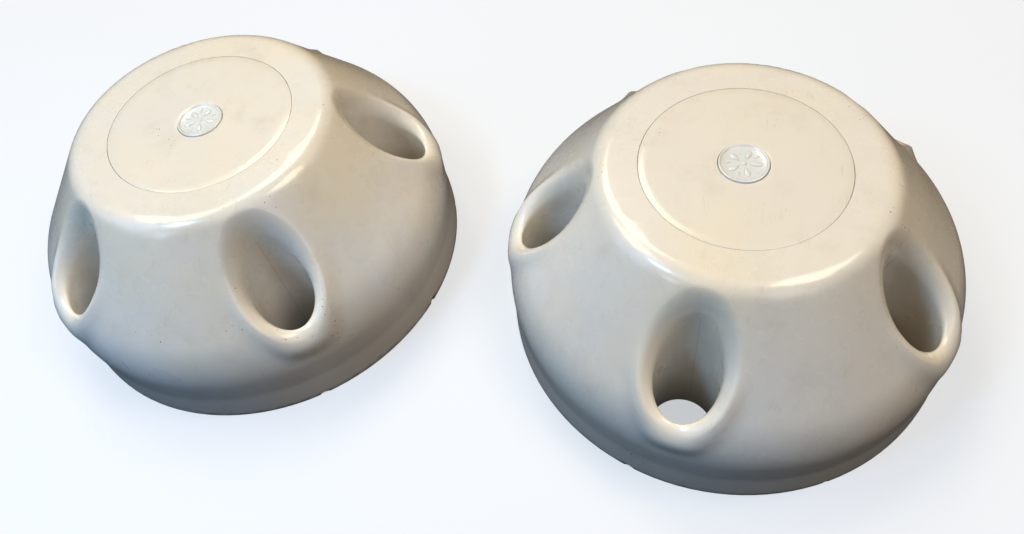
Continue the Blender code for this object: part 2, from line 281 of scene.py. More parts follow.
class Meridian:
    """A smooth line from the crown down to the rim, read by the distance along it."""

    def __init__(self, corners: Sequence[Corner], arc_steps: int = 24) -> None:
        """Rounds each inner corner with a tangent arc.

        Args:
            corners: The line's corners, from the axis outwards and down.
            arc_steps: The chords in each rounded corner.
        """
        points = [Vector((corners[0].radius, corners[0].height))]
        for before, corner, after in zip(corners, corners[1:], corners[2:]):
            points += self._arc(before, corner, after, arc_steps)
        points.append(Vector((corners[-1].radius, corners[-1].height)))
        self.radii = np.array([point.x for point in points])
        self.heights = np.array([point.y for point in points])
        steps = np.hypot(np.diff(self.radii), np.diff(self.heights))
        self.travels = np.concatenate(([0.0], np.cumsum(steps)))
        self.length = float(self.travels[-1])
        self.widest = int(np.argmax(self.radii > max(self.radii) - 0.0009))

    @staticmethod
    def _arc(before: Corner, corner: Corner, after: Corner, steps: int) -> list[Vector]:
        """The points that round one corner between its two straight neighbours."""
        here = Vector((corner.radius, corner.height))
        if corner.rounding <= 0.0:
            return [here]
        back = (Vector((before.radius, before.height)) - here).normalized()
        onward = (Vector((after.radius, after.height)) - here).normalized()
        half = back.angle(onward) / 2.0
        reach = corner.rounding / math.tan(half)
        start, end = here + back * reach, here + onward * reach
        centre = here + (back + onward).normalized() * (corner.rounding / math.sin(half))
        spoke = start - centre
        sweep = spoke.angle_signed(end - centre)
        turns = (Matrix.Rotation(-sweep * step / steps, 2) for step in range(steps + 1))
        return [centre + turn @ spoke for turn in turns]

    def at(self, travel: float) -> tuple[float, float]:
        """The radius and height at a distance along the line."""
        radius = float(np.interp(travel, self.travels, self.radii))
        height = float(np.interp(travel, self.travels, self.heights))
        return radius, height

    def normal(self, travel: float) -> Vector:
        """The outward direction at a distance along the line, as (radial, up)."""
        reach = 0.0006
        low = Vector(self.at(travel - reach))
        high = Vector(self.at(travel + reach))
        along = (high - low).normalized()
        return Vector((-along.y, along.x))

    def travel_at_radius(self, radius: float) -> float:
        """The distance along the line where it first reaches a radius."""
        return float(np.interp(radius, self.radii[: self.widest], self.travels[: self.widest]))

    def travel_at_height(self, height: float) -> float:
        """The distance along the line where it comes down to a height."""
        return float(np.interp(-height, -self.heights, self.travels))


# ---------------------------------------------------------------- the shell


@dataclass(frozen=True)
class PocketShape:
    """The sizes of one oval pocket, seen from above, and of the roundings about its mouth."""

    inner: float = 0.0932
    outer: float = 0.1385
    half_width: float = 0.0192
    crown_rounding: float = 0.0054
    side_rounding: float = 0.0094
    lip_rounding: float = 0.0062
    crown_depth: float = 2.6
    lip_depth: float = 1.1
    crown_scoop: float = 0.10
    flange_depth: float = 0.0080
    set_back: float = 0.0002
    foot_centre: float = 0.1135
    foot_radius: float = 0.0206
    foot_height: float = 0.0020
    lip_swell: float = 0.0038
    lip_crest: float = 0.0080
    lip_fall: float = 0.0085
    collar_foot: float = 0.0450
    collar_fade: float = 0.0170

    @property
    def centre(self) -> float:
        """The mouth's middle, from the cover's axis."""
        return (self.inner + self.outer) / 2.0

    @property
    def half_length(self) -> float:
        """Half of the mouth's length, along the cover's radius."""
        return (self.outer - self.inner) / 2.0

    def rounding(self, angle: float) -> float:
        """The width of the mouth's rounding at an angle round the mouth, zero at its outer end."""
        towards = math.cos(angle)
        end = self.lip_rounding if towards > 0.0 else self.crown_rounding
        return self.side_rounding + (end - self.side_rounding) * towards**2

    def edge(self, angle: float, away: float) -> Vector:
        """A point beside the mouth, seen from above.

        Args:
            angle: The angle round the mouth.
            away: The distance outwards from the mouth's wall.

        Returns:
            The point's radial and sideways place.
        """
        along, beside = math.cos(angle), math.sin(angle)
        wall = Vector((self.centre + self.half_length * along, self.half_width * beside))
        out = Vector((self.half_width * along, self.half_length * beside)).normalized()
        return wall + out * away

    def about(self, radius: float, azimuth: float) -> tuple[float, float]:
        """Where a place of the cover lies about the mouth.

        Args:
            radius: The place's distance from the cover's axis.
            azimuth: Its angle from the pocket's middle.

        Returns:
            How much it's towards the mouth's outer end, -1 to 1, and how far outside the wall.
        """
        across = radius * math.cos(azimuth) - self.centre
        sideways = radius * math.sin(azimuth)
        spoke = Vector((across / self.half_length, sideways / self.half_width))
        far = max(spoke.length, 1e-6)
        return spoke.x / far, Vector((across, sideways)).length * (1.0 - 1.0 / far)


@dataclass
class ShellMoulding:
    """The dome with its pockets, as one smooth surface with a wall inside it."""

    crown_edge: Corner = Corner(0.0865, 0.1405, 0.0140)
    shoulder: Corner = Corner(0.1494, 0.0607, 0.0600)
    waist: Corner = Corner(0.1484, 0.0220, 0.0300)
    rim: Corner = Corner(0.1499, 0.0040, 0.0060)
    seat_radius: float = 0.06226
    ledge_radius: float = 0.0524
    seat_depth: float = 0.0030
    wall: float = 0.0030
    edge_round: float = 0.00035
    sector_top: float = 0.0715
    sector_foot: float = 0.0400
    pocket: PocketShape = field(default_factory=PocketShape)
    around: int = 96
    lip_rings: int = 12
    blend_rings: int = 14
    tube_rings: int = 8
    skirt_rings: int = 18

    def __post_init__(self) -> None:
        """Works out the dome's line."""
        crown = Corner(self.seat_radius, self.crown_edge.height)
        foot = Corner(self.rim.radius, 0.0)
        self.line = Meridian([crown, self.crown_edge, self.shoulder, self.waist, self.rim, foot])

    def _swell(self, radius: float, azimuth: float) -> float:
        """How far the dome stands proud, in the rolled collar round a mouth's lower half."""
        pocket = self.pocket
        outwards, beyond = pocket.about(radius, azimuth)
        lower = smoothstep((outwards + 0.30) / 0.95)
        rise = smoothstep(beyond / pocket.lip_crest)
        fall = 1.0 - smoothstep((beyond - pocket.lip_crest) / pocket.lip_fall)
        return pocket.lip_swell * lower * rise * fall

    def _on_dome(self, travel: float, azimuth: float, drop: float = 0.0) -> Vector:
        """A point on the dome or straight below it.

        Args:
            travel: The distance along the dome's line.
            azimuth: The angle from the pocket's middle.
            drop: How far below the dome's surface the point is.

        Returns:
            The point, in the sector's space.
        """
        radius, height = self.line.at(travel)
        swell = self._swell(radius, azimuth)
        swell *= smoothstep((height - self.pocket.collar_foot) / self.pocket.collar_fade)
        proud = self.line.normal(travel) * swell
        radius, height = radius + proud.x, height + proud.y - drop
        return Vector((radius * math.cos(azimuth), radius * math.sin(azimuth), height))

    def _lip_place(self, angle: float, share: float) -> Vector:
        """A point on the mouth's rounding, at a share of its width out from the mouth's wall."""
        pocket = self.pocket
        width = pocket.rounding(angle)
        beside = pocket.edge(angle, width * share)
        scoop = pocket.crown_scoop * smoothstep(-math.cos(angle) * 1.4)
        rounded = 1.0 - math.sqrt(1.0 - (1.0 - share) ** 2)
        inwards = pocket.crown_depth - pocket.lip_depth
        deep = pocket.lip_depth + inwards * (1.0 - math.cos(angle)) / 2.0
        drop = width * deep * (rounded + (1.0 - share - rounded) * scoop)
        travel = self.line.travel_at_radius(beside.length)
        return self._on_dome(travel, math.atan2(beside.y, beside.x), drop)

    def _sector_edge(self, station: int) -> tuple[float, float]:
        """The sector's outer edge, as a distance along the dome's line and an azimuth.

        Args:
            station: The place round the mouth, a whole number from zero at its outer end.

        Returns:
            The distance along the line, and the angle from the pocket's middle.
        """
        top = self.line.travel_at_radius(self.sector_top)
        foot = self.line.travel_at_height(self.sector_foot)
        side = self.around // 4
        half = PITCH / 2.0
        quarter, step = divmod((station + side // 2) % self.around, side)
        share = step / side
        if quarter == 0:
            return foot, half * (2.0 * share - 1.0)
        if quarter == 1:
            return foot + (top - foot) * share, half
        if quarter == 2:
            return top, half * (1.0 - 2.0 * share)
        return top + (foot - top) * share, -half

    def _tube_rings(self) -> list[tuple[float, float, float]]:
        """The rings down a pocket: share of the way down, set back, depth below the mouth."""
        flange, set_back = self.pocket.flange_depth, self.pocket.set_back
        rings = [(0.0, 0.0, flange * share) for share in (0.35, 0.7, 1.0)]
        rings += [(step / self.tube_rings, set_back, flange) for step in range(self.tube_rings + 1)]
        return rings

    def _sector(self) -> BMesh:
        """One fifth of the dome, with its pocket, as an open surface."""
        shape = bmesh.new()
        bmesh.ops.create_circle(shape, segments=self.around, radius=1.0, cap_ends=False)
        wall = sorted(shape.verts, key=lambda v: math.atan2(v.co.y, v.co.x) % math.tau)
        angles = [math.tau * station / self.around for station in range(self.around)]
        for point, angle in zip(wall, angles):
            point.co = self._lip_place(angle, 0.0)
        ring = wall
        for step in range(1, self.lip_rings + 1):
            share = 1.0 - math.cos(step / self.lip_rings * math.pi / 2.0)
            ring = grow_ring(shape, ring, [self._lip_place(angle, share) for angle in angles])
        starts = []
        for angle in angles:
            beside = self.pocket.edge(angle, self.pocket.rounding(angle))
            travel = self.line.travel_at_radius(beside.length)
            starts.append((travel, math.atan2(beside.y, beside.x)))
        ends = [self._sector_edge(station) for station in range(self.around)]
        for step in range(1, self.blend_rings + 1):
            share = step / self.blend_rings
            places = []
            for (travel, azimuth), (last_travel, last_azimuth) in zip(starts, ends):
                here = travel + (last_travel - travel) * share
                places.append(self._on_dome(here, azimuth + (last_azimuth - azimuth) * share))
            ring = grow_ring(shape, ring, places)
        ring = wall
        mouth = [point.co.copy() for point in wall]
        for share, set_back, depth in self._tube_rings():
            places = []
            for angle, top in zip(angles, mouth):
                beside = self.pocket.edge(angle, set_back)
                foot = Vector((self.pocket.foot_centre, 0.0))
                foot += Vector((math.cos(angle), math.sin(angle))) * self.pocket.foot_radius
                across = beside.lerp(foot, share)
                low = self.pocket.foot_height
                height = (top.z - depth) * (1.0 - share) + low * share
                places.append(Vector((across.x, across.y, height)))
            ring = grow_ring(shape, ring, places)
        return shape

    def surface(self) -> BMesh:
        """The dome's whole outer surface, open underneath.

        Returns:
            The mesh, with the dome's axis on Z and the first pocket on +X.
        """
        shape = self._sector()
        sector = list(shape.verts) + list(shape.edges) + list(shape.faces)
        for index in range(1, SECTORS):
            copied = bmesh.ops.duplicate(shape, geom=sector)["geom"]
            spin(shape, [part for part in copied if isinstance(part, BMVert)], index * PITCH)
        bmesh.ops.remove_doubles(shape, verts=shape.verts, dist=WELD)
        self._add_crown(shape)
        self._add_skirt(shape)
        bmesh.ops.recalc_face_normals(shape, faces=shape.faces)
        top = max(shape.faces, key=lambda face: face.calc_center_median().z)
        if top.normal.z < 0.0:
            bmesh.ops.reverse_faces(shape, faces=shape.faces)
        return shape

    def _add_crown(self, shape: BMesh) -> None:
        """Closes the crown in to the disc's seat and the ledge under it."""
        level = self.crown_edge.height
        inside = self.sector_top + 0.001
        ring = boundary_ring(shape, lambda place: place.xy.length < inside and place.z > level / 2)
        gap = self.sector_top - self.seat_radius
        path = [(self.seat_radius + gap * share, level) for share in (0.66, 0.33, 0.1, 0.0)]
        steps = (self.seat_radius, self.seat_radius - 0.002, self.ledge_radius)
        path += [(radius, level - self.seat_depth) for radius in steps]
        for radius, height in path:
            ring = self._round(shape, ring, radius, height)

    def _add_skirt(self, shape: BMesh) -> None:
        """Carries the dome down over its waist to the rim."""
        start = self.line.travel_at_height(self.sector_foot)
        outside, foot = self.waist.radius - 0.008, self.sector_foot
        ring = boundary_ring(
            shape, lambda place: place.xy.length > outside and abs(place.z - foot) < 0.001
        )
        for step in range(1, self.skirt_rings + 1):
            share = step / self.skirt_rings
            radius, height = self.line.at(start + (self.line.length - start) * share)
            ring = self._round(shape, ring, radius, height)

    @staticmethod
    def _round(shape: BMesh, ring: list[BMVert], radius: float, height: float) -> list[BMVert]:
        """Extrudes a ring to a new radius and height, each point along its own azimuth."""
        places = []
        for point in ring:
            out = point.co.xy.normalized() * radius
            places.append(Vector((out.x, out.y, height)))
        return grow_ring(shape, ring, places)


@dataclass(frozen=True)
class Place:
    """Where one cover stands: its axis, and the turn of its first pocket."""

    centre: Vector
    turn: float

    @classmethod
    def of(cls, side: Side) -> "Place":
        """Reads a cover's place from its ring of screws, the first of which is half a pitch on."""
        screws = []
        for index in range(SECTORS):
            low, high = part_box(f"{side.value}_clip_{index + 1}_screw")
            screws.append((low + high) / 2.0)
        centre = sum(screws, Vector()) / SECTORS
        centre.z = 0.0
        towards = screws[0] - centre
        return cls(centre, math.atan2(towards.y, towards.x) - PITCH / 2.0)

    def matrix(self, extra_turn: float = 0.0) -> Matrix:
        """The move from the cover's own space, its first pocket on +X, to the frame."""
        return Matrix.Translation(self.centre) @ Matrix.Rotation(self.turn + extra_turn, 4, "Z")


@dataclass(frozen=True)
class RimNick:
    """A small chip out of the rim's foot, with its bearing in degrees."""

    bearing: float
    width: float
    height: float
    depth: float = 0.0060


@dataclass
class RimNicks:
    """The chips that years of handling have knocked out of one cover's rim."""

    nicks: Sequence[RimNick]
    rim_radius: float = 0.1490
    raggedness: float = 0.14

    def cut(self, piece: bpy.types.Object, place: Place) -> None:
        """Cuts the chips out of a shell.

        Args:
            piece: The shell, whose modifiers are applied.
            place: Where the cover stands.
        """
        shape = bmesh.new()
        for nick in self.nicks:
            made = bmesh.ops.create_icosphere(shape, subdivisions=2, radius=1.0)["verts"]
            for index, point in enumerate(made):
                point.co *= 1.0 - self.raggedness + self.raggedness * math.sin(index * 2.4)
            bmesh.ops.scale(shape, verts=made, vec=(nick.depth, nick.width / 2.0, nick.height))
            push(shape, made, (self.rim_radius, 0.0, 0.0))
            spin(shape, made, math.radians(nick.bearing))
        cut_away(piece, make_piece(piece.name + "_chips", shape, Matrix.Translation(place.centre)))


@dataclass
class InnerStructure:
    """The ribs and screw bosses inside the dome, between the pockets."""

    moulding: ShellMoulding
    rib_thickness: float = 0.0026
    rib_depth: float = 0.0130
    rib_foot: float = 0.0240
    rib_steps: int = 24
    boss_radius: float = 0.0060
    boss_centre: float = 0.1340
    boss_foot: float = 0.0160
    bore_radius: float = 0.0019
    bore_depth: float = 0.0143
    edge_round: float = 0.0005

    def _inside_height(self, radius: float) -> float:
        """The height of the wall's middle at a radius."""
        line = self.moulding.line
        travel = line.travel_at_radius(radius)
        steepest = 0.35
        return line.at(travel)[1] - self.moulding.wall / 2.0 / max(line.normal(travel).y, steepest)

    def _rib(self) -> BMesh:
        """One rib, upright over the X axis."""
        line, half_wall = self.moulding.line, self.moulding.wall / 2.0
        crown, shoulder = self.moulding.crown_edge, self.moulding.shoulder
        seat = self.moulding.seat_radius + 2.0 * self.moulding.wall
        level = crown.height - self.rib_depth
        flank = (self.boss_centre - crown.radius) / (shoulder.radius - crown.radius)
        drop = flank * (crown.height - shoulder.height)
        outline = [(seat, level), (crown.radius, level), (self.boss_centre, level - drop)]
        outline += [(self.boss_centre, self.rib_foot)]
        outline += [(self.moulding.waist.radius - half_wall, self.rib_foot)]
        low, high = line.travel_at_height(self.rib_foot), line.travel_at_radius(seat)
        for step in range(1, self.rib_steps + 1):
            travel = low + (high - low) * step / self.rib_steps
            place = Vector(line.at(travel)) - line.normal(travel) * half_wall
            outline.append((place.x, place.y))
        shape = bmesh.new()
        half = self.rib_thickness / 2.0
        points = [shape.verts.new((radius, -half, height)) for radius, height in outline]
        face = shape.faces.new(points)
        grown = bmesh.ops.extrude_face_region(shape, geom=[face], use_keep_orig=True)["geom"]
        push(shape, grown, (0.0, self.rib_thickness, 0.0))
        bmesh.ops.recalc_face_normals(shape, faces=shape.faces)
        return shape

    def _boss(self) -> BMesh:
        """One screw boss, its top carried up into the dome's wall."""
        shape = bmesh.new()
        wide = self.boss_radius
        made = bmesh.ops.create_cone(
            shape, cap_ends=True, segments=40, radius1=wide, radius2=wide, depth=1.0
        )
        for point in made["verts"]:
            upper = point.co.z > 0.0
            point.co.x += self.boss_centre
            point.co.z = self._inside_height(point.co.xy.length) if upper else self.boss_foot
        foot = min(shape.faces, key=lambda face: face.calc_center_median().z)
        rim_width = self.boss_radius - self.bore_radius
        bmesh.ops.inset_region(shape, faces=[foot], thickness=rim_width, use_even_offset=True)
        grown = bmesh.ops.extrude_face_region(shape, geom=[foot])["geom"]
        push(shape, grown, (0.0, 0.0, self.bore_depth))
        bmesh.ops.delete(shape, geom=[foot], context="FACES_ONLY")
        bmesh.ops.recalc_face_normals(shape, faces=shape.faces)
        return shape

    def build(self, name: str, place: Place) -> bpy.types.Object:
        """All the ribs and bosses of one cover, as one piece.

        Args:
            name: The piece's name.
            place: Where the cover stands.

        Returns:
            The finished piece.
        """
        whole = bmesh.new()
        for index in range(SECTORS):
            turn = Matrix.Rotation((index + 0.5) * PITCH, 4, "Z")
            for part in (self._rib(), self._boss()):
                soften(part, self.edge_round, CRISP_ANGLE)
                part.transform(turn)
                joint = bpy.data.meshes.new("part")
                part.to_mesh(joint)
                part.free()
                whole.from_mesh(joint)
                bpy.data.meshes.remove(joint)
        return make_piece(name, whole, place.matrix())


# ---------------------------------------------------------------- the centre disc and medallion


@dataclass
class CentreDisc:
    """The flat snap-in disc, with its spigot ring below."""

    radius: float = 0.0620
    top: float = 0.1405
    underside: float = 0.1378
    spigot_radius: float = 0.0520
    spigot_wall: float = 0.0024
    spigot_foot: float = 0.1285
    barb_top: float = 0.0026
    barb_crest: float = 0.0016
    barb_proud: float = 0.0002
    barb_lead: float = 0.0004
    recess_radius: float = 0.0154
    recess_depth: float = 0.0012
    bore_radius: float = 0.0029
    dish: float = 0.00012
    edge_round: float = 0.0003
    steps: int = 144

    def build(self, name: str, place: Place) -> bpy.types.Object:
        """The disc, turned from its section, with its edges rounded."""
        floor, under = self.top - self.recess_depth, self.underside
        spigot, foot = self.spigot_radius, self.spigot_foot
        section = [(self.bore_radius, floor), (self.recess_radius, floor)]
        section.append((self.recess_radius, self.top))
        for share in (0.3, 0.45, 0.6, 0.75, 0.9):
            sunk = self.dish * (1.0 - (2.0 * share - 1.0) ** 2)
            section.append((self.radius * share, self.top - sunk))
        section += [(self.radius, self.top), (self.radius, under), (spigot, under)]
        section.append((spigot, foot + self.barb_top))
        section.append((spigot + self.barb_proud, foot + self.barb_crest))
        inner = spigot - self.spigot_wall
        section += [(spigot - self.barb_lead, foot), (inner, foot), (inner, under)]
        section += [(self.bore_radius, under), section[0]]
        shape = spun(section, self.steps)
        soften(shape, self.edge_round, CREASE_ANGLE)
        return make_piece(name, shape, place.matrix())


@dataclass
class Medallion:
    """A small round badge with a raised ring and a plain five-petal rosette."""

    radius: float = 0.0150
    face: float = 0.1405
    base: float = 0.1396
    ring_width: float = 0.0016
    relief: float = 0.0010
    peg_radius: float = 0.0025
    peg_foot: float = 0.1336
    petal_length: float = 0.0076
    petal_width: float = 0.0038
    petal_reach: float = 0.0070
    petals: int = 5
    heart_width: float = 0.0034

    def _body(self) -> BMesh:
        """The plate, its raised ring with small steps that round it, and the peg behind it."""
        inner, wide, peg = self.radius - self.ring_width, self.radius, self.peg_radius
        face, foot, crest = self.face, self.peg_foot, self.face + self.relief
        section = [(0.0, face), (inner * 0.5, face - 0.0001), (inner - 0.0006, face)]
        section += [(inner, face + 0.0003), (inner + 0.0003, crest - 0.0002)]
        section += [(inner + 0.0007, crest), (wide - 0.0005, crest)]
        section.append((wide - 0.0001, crest - 0.0003))
        section += [(wide, face), (wide, self.base), (peg, self.base), (peg, foot + 0.0005)]
        section += [(peg - 0.0006, foot), (0.0, foot)]
        return spun(section, 96)

    def _leaf(self, shape: BMesh, size: Vector, reach: float, turn: float, taper: float) -> None:
        """Adds one raised leaf, pointed at its outer end.

        Args:
            shape: The mesh to add to.
            size: The leaf's length, width and height.
            reach: Its middle's distance from the centre.
            turn: Its angle round the centre.
            taper: How much narrower its inner end is, as a share.
        """
        made = bmesh.ops.create_uvsphere(shape, u_segments=20, v_segments=12, radius=0.5)["verts"]
        for point in made:
            along = point.co.x * 2.0
            point.co.y *= (1.0 + taper * along) * math.sqrt(max(1.0 - along * along * 0.75, 0.05))
        bmesh.ops.scale(shape, verts=made, vec=size)
        push(shape, made, (reach, 0.0, self.face))
        spin(shape, made, turn)

    def build(self, name: str, place: Place) -> bpy.types.Object:
        """The medallion, upright to the frame and not to its cover's pockets."""
        shape = self._body()
        pitch = math.tau / self.petals
        tall = 1.7 * self.relief
        petal = Vector((self.petal_length, self.petal_width, tall))
        sepal = Vector((self.petal_length * 0.55, self.petal_width * 0.35, self.relief))
        for index in range(self.petals):
            self._leaf(shape, petal, self.petal_reach, index * pitch, 0.35)
            self._leaf(shape, sepal, self.petal_reach * 1.28, (index + 0.5) * pitch, 0.0)
        self._leaf(shape, Vector((self.heart_width, self.heart_width, tall)), 0.0, 0.0, 0.0)
        return make_piece(name, shape, place.matrix(-place.turn))


# ---------------------------------------------------------------- clips and screws


@dataclass
class SpringClip:
    """A bent strip of spring steel: a flat foot under the boss and a leg that flexes."""

    width: float = 0.0130
    thickness: float = 0.0010
    foot_length: float = 0.0140
    foot_centre: float = 0.1340
    foot_top: float = 0.0157
    bend_radius: float = 0.1262
    leg_height: float = 0.0123
    nose_reach: float = 0.0060
    nose_top: float = 0.64
    nose_foot: float = 0.80
    tip_reach: float = 0.3
    corner_round: float = 0.0022
    edge_round: float = 0.00018

    def build_foot(self, name: str, place: Place, turn: float) -> bpy.types.Object:
        """The flat, with rounded corners.

        Args:
            name: The piece's name.
            place: Where the cover stands.
            turn: The clip's angle from the first pocket.

        Returns:
            The finished piece.
        """
        shape = bmesh.new()
        bmesh.ops.create_cube(shape, size=1.0)
        size = (self.foot_length, self.width, self.thickness)
        bmesh.ops.scale(shape, verts=shape.verts, vec=size)
        half = self.thickness / 2.0
        upright = [e for e in shape.edges if abs(e.verts[0].co.z - e.verts[1].co.z) > half]
        bevel(shape, upright, self.corner_round, 6)
        soften(shape, self.edge_round, CRISP_ANGLE)
        push(shape, shape.verts, (self.foot_centre, 0.0, self.foot_top - half))
        return make_piece(name, shape, place.matrix(turn))

    def build_leg(self, name: str, place: Place, turn: float) -> bpy.types.Object:
        """The leg, bent down from the foot, with its gripping nose.

        Args:
            name: The piece's name.
            place: Where the cover stands.
            turn: The clip's angle from the first pocket.

        Returns:
            The finished piece.
        """
        tall, reach = self.leg_height, self.nose_reach
        path = [Corner(0.0005, 0.0), Corner(0.0, 0.0, 0.0004), Corner(0.0, -0.0022, 0.0030)]
        path += [Corner(-reach, -tall * self.nose_top, 0.0014)]
        path += [Corner(-reach, -tall * self.nose_foot, 0.0008)]
        path += [Corner(-reach * self.tip_reach, -tall + self.thickness / 2.0)]
        line = Meridian(path, arc_steps=8)
        shape = bmesh.new()
        half = self.width / 2.0
        points = [shape.verts.new((out, -half, up)) for out, up in zip(line.radii, line.heights)]
        edges = [shape.edges.new(pair) for pair in zip(points, points[1:])]
        push(shape, bmesh.ops.extrude_edge_only(shape, edges=edges)["geom"], (0.0, self.width, 0.0))
        bmesh.ops.recalc_face_normals(shape, faces=shape.faces)
        push(shape, shape.verts, (self.bend_radius, 0.0, self.foot_top - self.thickness / 2.0))
        piece = make_piece(name, shape, place.matrix(turn))
        add_wall(piece, self.thickness)
        piece.modifiers["wall"].offset = 0.0
        add_edge_round(piece, self.edge_round)
        return piece


@dataclass
class PanScrew:
    """A pan-head screw, driven up into its boss, with a cross recess in its head."""

    axis_radius: float = 0.1340
    head_radius: float = 0.0040
    head_top: float = 0.0144
    head_height: float = 0.0022
    shank_radius: float = 0.0015
    core_radius: float = 0.0012
    tip: float = 0.0300
    tip_taper: float = 0.0008
    thread_pitch: float = 0.0011
    thread_start: float = 0.0020
    thread_end: float = 0.0030
    head_side: float = 0.42
    head_dome: float = 0.45
    head_steps: int = 6
    recess_width: float = 0.0009
    recess_length: float = 0.0044
    recess_depth: float = 0.0013
    recess_floor: tuple[float, float] = (0.45, 0.75)
    recess_turn: float = 0.4

    def _section(self) -> list[tuple[float, float]]:
        """The screw's outline from its tip down to its head."""
        top, wide, core = self.head_top, self.head_radius, self.core_radius
        section = [(0.0, self.tip), (core * 0.4, self.tip - self.tip_taper)]
        for index in range(int((self.tip - top - self.thread_end) / self.thread_pitch)):
            height = self.tip - self.thread_start - index * self.thread_pitch
            section += [(core, height), (self.shank_radius, height - self.thread_pitch / 2)]
        section += [(core, top + 0.0003), (core, top), (wide * 0.97, top), (wide, top - 0.0002)]
        side = self.head_height * self.head_side
        crown = self.head_height - side
        for step in range(self.head_steps):
            angle = math.pi / 2 * step / self.head_steps
            radius = wide * (1.0 - self.head_dome + self.head_dome * math.cos(angle))
            section.append((radius, top - side - crown * math.sin(angle)))
        section.append((0.0, top - self.head_height))
        return section

    def build(self, name: str, place: Place, turn: float) -> bpy.types.Object:
        """The screw, with its cross recess cut.

        Args:
            name: The piece's name.
            place: Where the cover stands.
            turn: The screw's angle from the first pocket.

        Returns:
            The finished piece.
        """
        shape = spun(self._section(), 40)
        out = (self.axis_radius, 0.0, 0.0)
        push(shape, shape.verts, out)
        piece = make_piece(name, shape, Matrix.Identity(4))
        cross = bmesh.new()
        foot = self.head_top - self.head_height
        for quarter in range(2):
            made = bmesh.ops.create_cube(cross, size=1.0)["verts"]
            for point in made:
                deep = point.co.z > 0.0
                shorter, narrower = self.recess_floor if deep else (1.0, 1.0)
                point.co.x *= self.recess_length * shorter
                point.co.y *= self.recess_width * narrower
                point.co.z = foot + (self.recess_depth if deep else -0.001)
            spin(cross, made, quarter * math.pi / 2 + self.recess_turn)
            push(cross, made, out)
        cut_away(piece, make_piece(name + "_recess", cross, Matrix.Identity(4)), overlapping=True)
        piece.data.transform(place.matrix(turn))
        piece.data.shade_smooth()
        piece.data.set_sharp_from_angle(angle=SMOOTH_ANGLE)
        return piece


# ---------------------------------------------------------------- materials


class Wiring:
    """Adds nodes to one node tree and links them."""

    def __init__(self, tree: bpy.types.NodeTree) -> None:
        """Keeps the tree that the nodes go in."""
        self.tree = tree

    def add(self, kind: str, **settings: Any) -> bpy.types.Node:
        """A new node of a kind, with its own settings."""
        node = self.tree.nodes.new(kind)
        for name, value in settings.items():
            setattr(node, name, value)
        return node

    def feed(self, socket: bpy.types.NodeSocket, source: Any) -> None:
        """Links a socket to another, or sets its value where the source is plain."""
        if isinstance(source, bpy.types.NodeSocket):
            self.tree.links.new(source, socket)
        elif isinstance(source, (tuple, list)) and len(source) == 3 and socket.type == "RGBA":
            socket.default_value = (*source, 1.0)
        else:
            socket.default_value = source

    def fill(self, node: bpy.types.Node, values: dict[str, Any]) -> None:
        """Feeds several of a node's sockets, each by its name."""
        for name, source in values.items():
            self.feed(node.inputs[name], source)

    def sums(
        self, operation: str, first: Any, second: Any = 0.0, third: Any = 0.0, clamp: bool = False
    ) -> bpy.types.NodeSocket:
        """The result of one sum on up to three values."""
        node = self.add("ShaderNodeMath", operation=operation, use_clamp=clamp)
        for socket, source in zip(node.inputs, (first, second, third)):
            self.feed(socket, source)
        return node.outputs[0]

    def ramp(self, value: Any, low: Any, high: Any) -> bpy.types.NodeSocket:
        """A soft 0 to 1 ramp of a value between a low and a high one."""
        node = self.add("ShaderNodeMapRange", interpolation_type="SMOOTHSTEP", clamp=True)
        self.fill(node, {"Value": value, "From Min": low, "From Max": high})
        return node.outputs["Result"]

    def noise(
        self, place: Any, scale: Any, detail: float, roughness: float = 0.5
    ) -> bpy.types.NodeSocket:
        """A cloudy value from 0 to 1 about a place."""
        node = self.add("ShaderNodeTexNoise")
        self.fill(node, {"Vector": place, "Scale": scale, "Detail": detail, "Roughness": roughness})
        return node.outputs["Fac"]

    def mix(self, share: Any, first: Any, second: Any) -> bpy.types.NodeSocket:
        """Two colours mixed by a share."""
        node = self.add("ShaderNodeMix", data_type="RGBA")
        self.feed(node.inputs["Factor"], share)
        colours = [socket for socket in node.inputs if socket.type == "RGBA"]
        self.feed(colours[0], first)
        self.feed(colours[1], second)
        return next(socket for socket in node.outputs if socket.type == "RGBA")

    def moved(
        self, place: Any, turn: Sequence[float], scale: Sequence[float]
    ) -> bpy.types.NodeSocket:
        """A place, turned and then stretched."""
        node = self.add("ShaderNodeMapping")
        self.fill(node, {"Vector": place, "Rotation": turn, "Scale": scale})
        return node.outputs["Vector"]

    def height(self, place: Any) -> bpy.types.NodeSocket:
        """How high a place is."""
        split = self.add("ShaderNodeSeparateXYZ")
        self.feed(split.inputs[0], place)
        return split.outputs["Z"]

    def attribute(self, name: str) -> bpy.types.NodeSocket:
        """A value that the mesh stores for each of its points."""
        node = self.add("ShaderNodeAttribute", attribute_name=name, attribute_type="GEOMETRY")
        return node.outputs["Fac"]

    def bump(self, height: Any, strength: float, distance: float) -> bpy.types.NodeSocket:
        """The surface's direction, tilted by a fine relief."""
        node = self.add("ShaderNodeBump")
        self.fill(node, {"Height": height, "Strength": strength, "Distance": distance})
        return node.outputs["Normal"]


def start_material(name: str) -> tuple[bpy.types.Material, Wiring, bpy.types.Node]:
    """A new material, with the wiring of its nodes and its shader."""
    made = bpy.data.materials.new(name)
    made.use_nodes = True
    return made, Wiring(made.node_tree), made.node_tree.nodes["Principled BSDF"]


